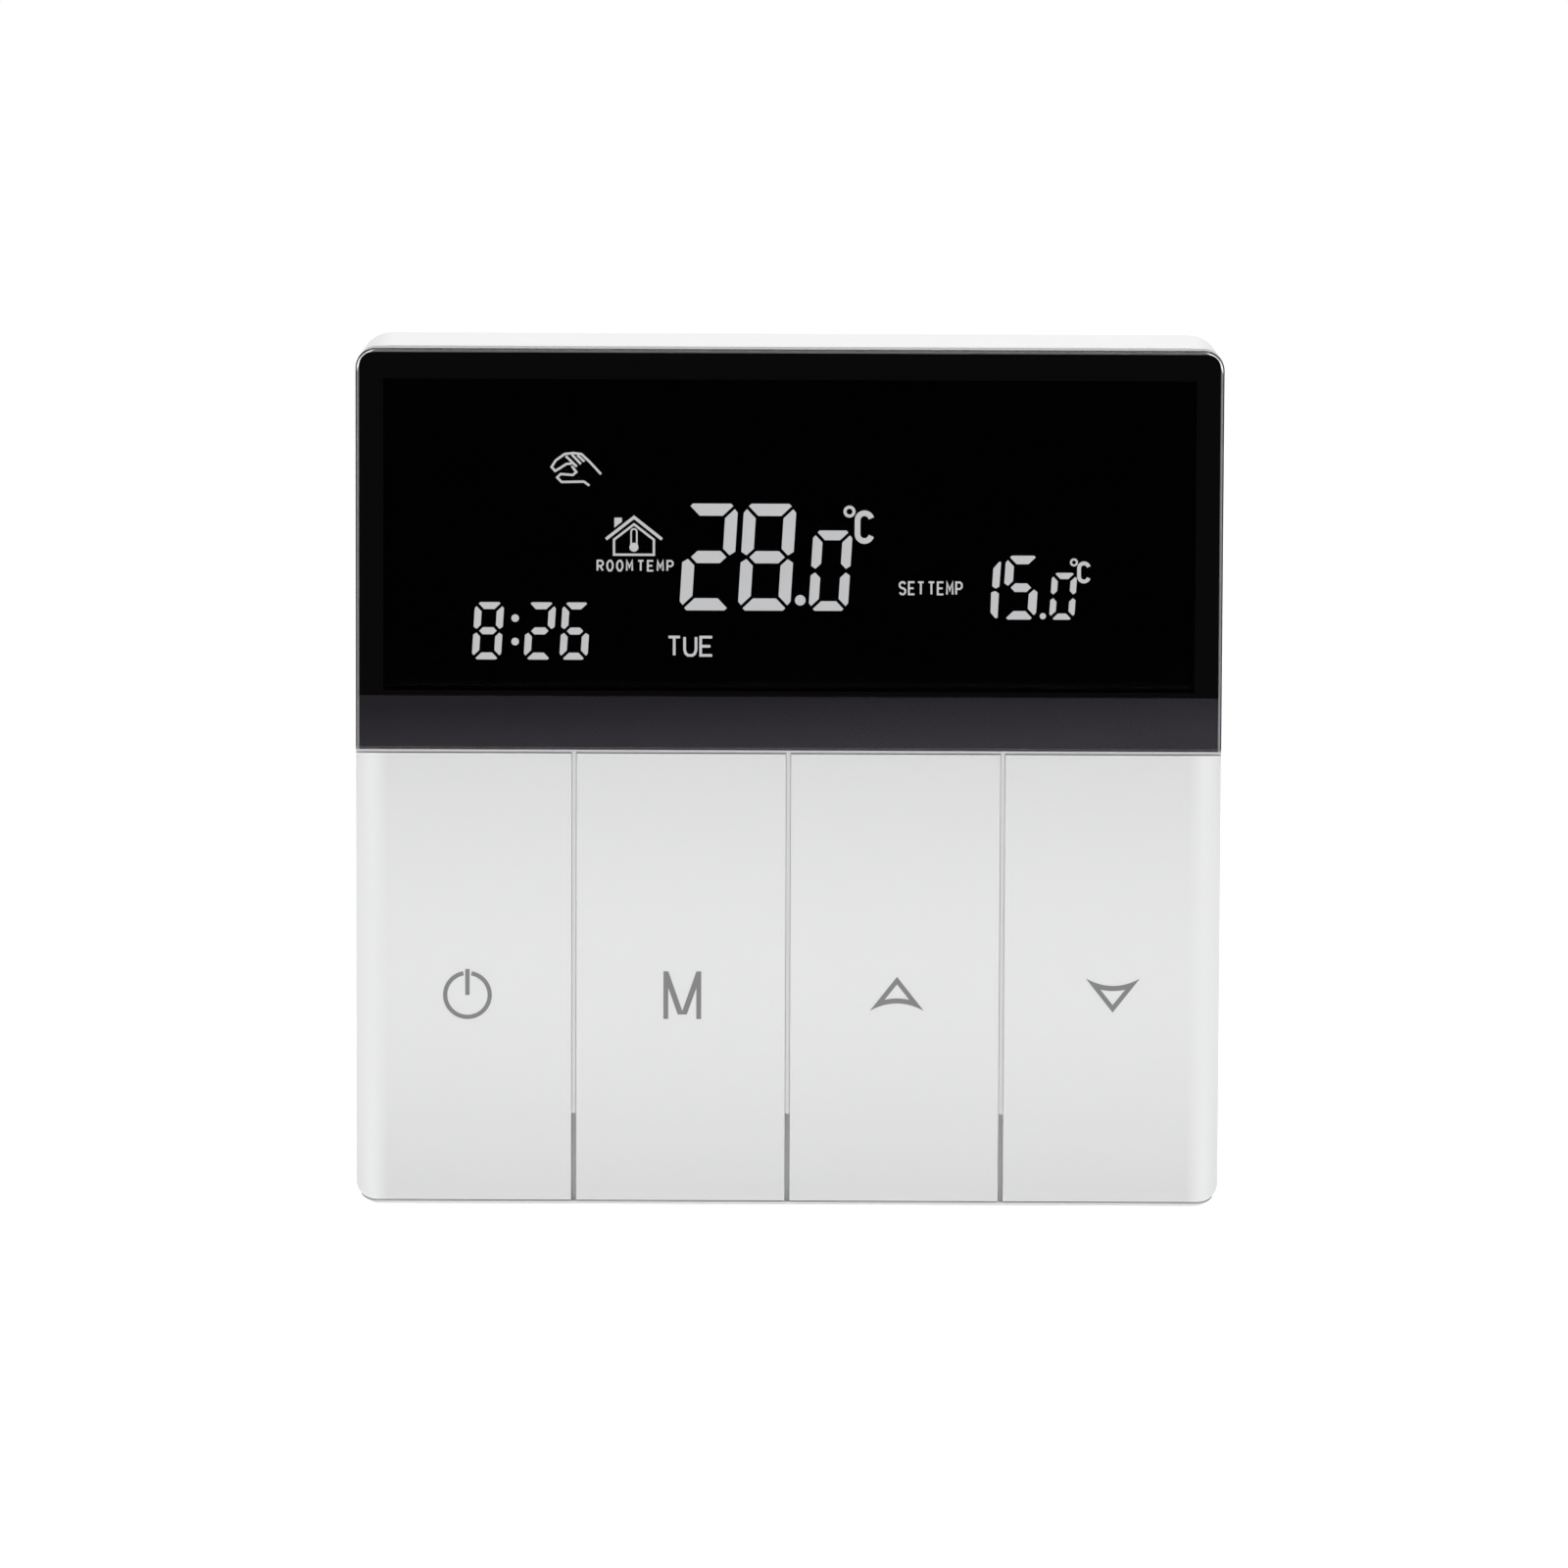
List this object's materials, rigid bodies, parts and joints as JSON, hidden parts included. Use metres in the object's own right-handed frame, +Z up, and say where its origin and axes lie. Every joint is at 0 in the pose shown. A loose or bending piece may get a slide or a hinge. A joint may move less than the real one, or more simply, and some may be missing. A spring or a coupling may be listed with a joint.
{
  "type": "wall thermostat",
  "caption": "Flush square wall thermostat with a glossy black display across the top, full-width rocker keys below, a steel wall plate and an in-wall power box.",
  "frame": {"origin": "centre of the mounting plate's rear face, in the wall plane, midway between the two wall screw slots", "axes": "+Y into the wall, along the wall screws; the display faces -Y; +Z up; +X to the right as seen from the room"},
  "size_m": [0.086, 0.0393, 0.086],
  "materials": {
    "housing_plastic": "fine satin moulded white",
    "key_plastic": "fine satin moulded white",
    "clear_acrylic": "polished clear",
    "black_print": "black screen print",
    "foam_tape": "black adhesive foam",
    "display_glass": "dark display glass",
    "polariser": "dark film",
    "light_guide": "clear diffusing",
    "lamp_package": "lamp with yellow resin",
    "holder_plastic": "matt black",
    "tinned_pins": "tinned",
    "circuit_board": "green solder mask",
    "zinc_screws": "zinc plated",
    "black_plastic": "moulded black",
    "chip_resin": "moulded resin",
    "cell_steel": "nickel plated",
    "bead_resin": "dipped resin",
    "switch_steel": "stainless",
    "plunger_plastic": "moulded black",
    "plate_steel": "zinc plated sheet",
    "box_plastic": "moulded white",
    "gold_pins": "gold plated",
    "relay_plastic": "moulded blue",
    "core_steel": "laminated core",
    "coil_tape": "yellow winding tape",
    "can_sleeve": "shrunk black sleeve",
    "film_box": "moulded yellow",
    "varistor_resin": "dipped blue",
    "fuse_ceramic": "ceramic tube with plated caps",
    "terminal_plastic": "moulded green",
    "clamp_brass": "nickel plated brass"
  },
  "bodies": {
    "base": {"mounting_plate": "plate_steel", "power_box": "box_plastic", "power_box_lid": "box_plastic", "power_board": "circuit_board", "box_screws": "zinc_screws", "pin_header": "black_plastic", "header_pins": "gold_pins", "relay": "relay_plastic", "transformer_core": "core_steel", "transformer_coil": "coil_tape", "capacitor_cans": "can_sleeve", "film_capacitor": "film_box", "varistor": "varistor_resin", "fuse": "fuse_ceramic", "terminal_block": "terminal_plastic", "terminal_clamps": "clamp_brass", "terminal_screws": "zinc_screws"},
    "front_unit": {"front_housing": "housing_plastic", "display_lens": "clear_acrylic", "lens_mask": "black_print", "lens_tape": "foam_tape", "lcd_panel": "display_glass", "polariser_film": "polariser", "backlight_guide": "light_guide", "backlight_leds": "lamp_package", "lcd_holder": "holder_plastic", "lcd_pins": "tinned_pins", "control_board": "circuit_board", "board_screws": "zinc_screws", "header_socket": "black_plastic", "microcontroller": "chip_resin", "board_components": "chip_resin", "buzzer": "black_plastic", "backup_cell": "cell_steel", "cell_clip": "cell_steel", "thermistor": "bead_resin", "switch_bodies": "black_plastic", "switch_covers": "switch_steel", "switch_domes": "switch_steel"},
    "power_key": {"power_key": "key_plastic"},
    "mode_key": {"mode_key": "key_plastic"},
    "up_key": {"up_key": "key_plastic"},
    "down_key": {"down_key": "key_plastic"},
    "power_plunger": {"power_plunger": "plunger_plastic"},
    "mode_plunger": {"mode_plunger": "plunger_plastic"},
    "up_plunger": {"up_plunger": "plunger_plastic"},
    "down_plunger": {"down_plunger": "plunger_plastic"}
  },
  "joints": [
    {"name": "front_release", "type": "slide", "parent": "base", "child": "front_unit", "axis": [0, -1, 0], "range_m": [0, 0.03]},
    {"name": "power_key_press", "type": "hinge", "parent": "front_unit", "child": "power_key", "pos_m": [-0.03195, -0.01105, -0.0003], "axis": [1, 0, 0], "range_deg": [0, 1], "stiffness_Nm_per_rad": 0.5, "springref_deg": -2.86},
    {"name": "power_plunger_travel", "type": "slide", "parent": "front_unit", "child": "power_plunger", "axis": [0, 1, 0], "range_m": [0, 0.0004]},
    {"name": "mode_key_press", "type": "hinge", "parent": "front_unit", "child": "mode_key", "pos_m": [-0.01065, -0.01105, -0.0003], "axis": [1, 0, 0], "range_deg": [0, 1], "stiffness_Nm_per_rad": 0.5, "springref_deg": -2.86},
    {"name": "mode_plunger_travel", "type": "slide", "parent": "front_unit", "child": "mode_plunger", "axis": [0, 1, 0], "range_m": [0, 0.0004]},
    {"name": "up_key_press", "type": "hinge", "parent": "front_unit", "child": "up_key", "pos_m": [0.01065, -0.01105, -0.0003], "axis": [1, 0, 0], "range_deg": [0, 1], "stiffness_Nm_per_rad": 0.5, "springref_deg": -2.86},
    {"name": "up_plunger_travel", "type": "slide", "parent": "front_unit", "child": "up_plunger", "axis": [0, 1, 0], "range_m": [0, 0.0004]},
    {"name": "down_key_press", "type": "hinge", "parent": "front_unit", "child": "down_key", "pos_m": [0.03195, -0.01105, -0.0003], "axis": [1, 0, 0], "range_deg": [0, 1], "stiffness_Nm_per_rad": 0.5, "springref_deg": -2.86},
    {"name": "down_plunger_travel", "type": "slide", "parent": "front_unit", "child": "down_plunger", "axis": [0, 1, 0], "range_m": [0, 0.0004]}
  ],
  "couplings": [
    {"joint": "power_plunger_travel", "follows": "power_key_press", "m_per_rad": 0.022},
    {"joint": "mode_plunger_travel", "follows": "mode_key_press", "m_per_rad": 0.022},
    {"joint": "up_plunger_travel", "follows": "up_key_press", "m_per_rad": 0.022},
    {"joint": "down_plunger_travel", "follows": "down_key_press", "m_per_rad": 0.022}
  ]
}
